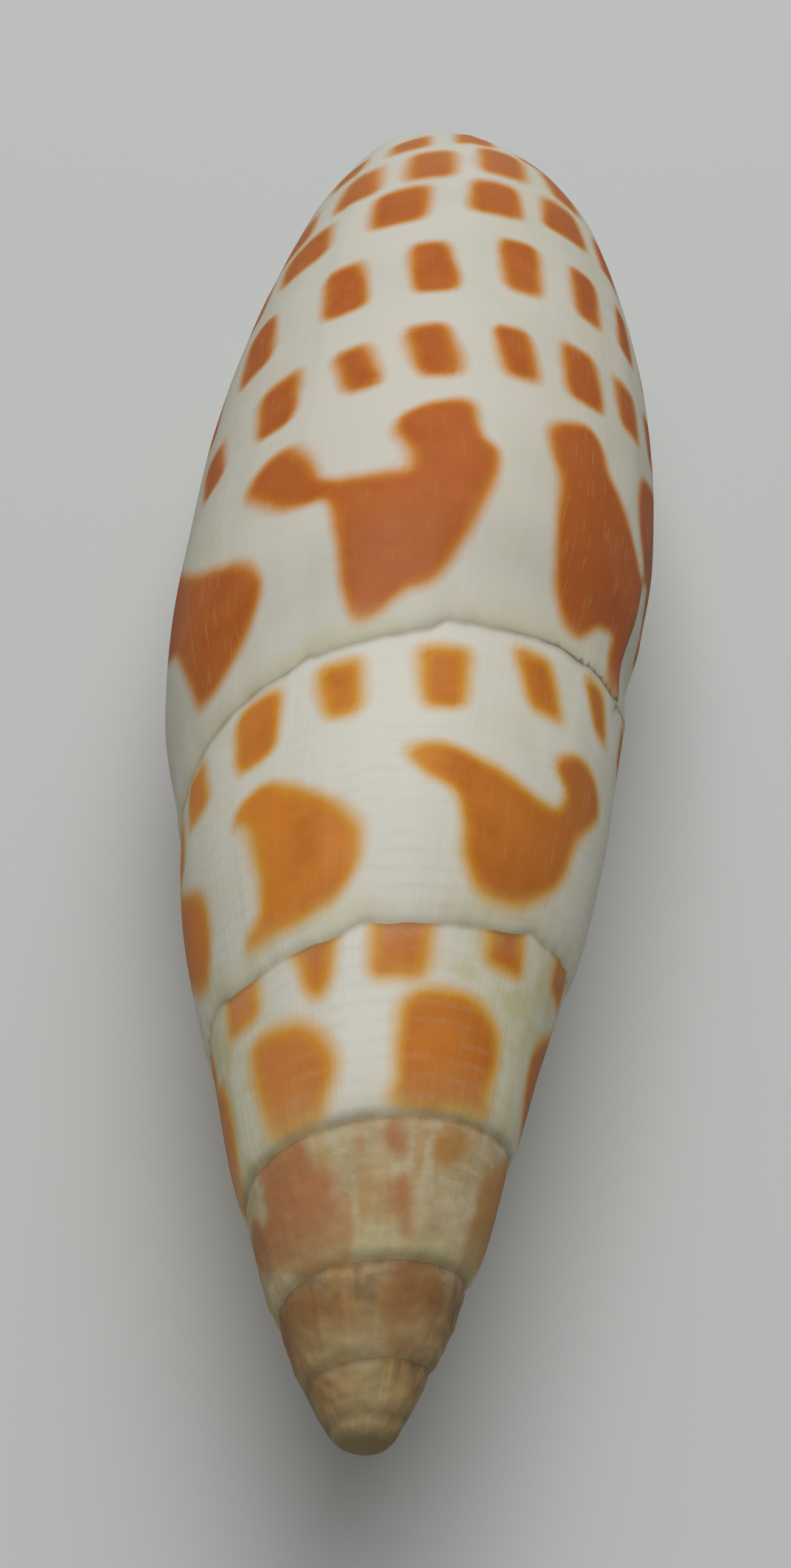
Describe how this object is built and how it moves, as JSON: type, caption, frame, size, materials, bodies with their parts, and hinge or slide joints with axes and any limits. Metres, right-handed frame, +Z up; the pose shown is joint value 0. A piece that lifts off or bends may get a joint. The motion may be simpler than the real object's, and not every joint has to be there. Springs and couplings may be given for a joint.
{
  "type": "mitre shell",
  "caption": "Slender spindle-shaped sea shell with a tall coiled spire, a long narrow aperture and orange blotches on cream, resting on its aperture.",
  "frame": {"origin": "middle of the footprint box, on the surface that the shell rests on", "axes": "+Z is up, the back of the shell; +Y runs along the coil's axis from the tip of the spire to the siphonal end; +X is the side of the outer lip"},
  "size_m": [0.0334, 0.11, 0.0305],
  "materials": {
    "shell": "glossy natural shell with orange blotches, worn matt tan on the oldest whorls"
  },
  "bodies": {
    "root": {"shell": "shell"}
  },
  "joints": []
}
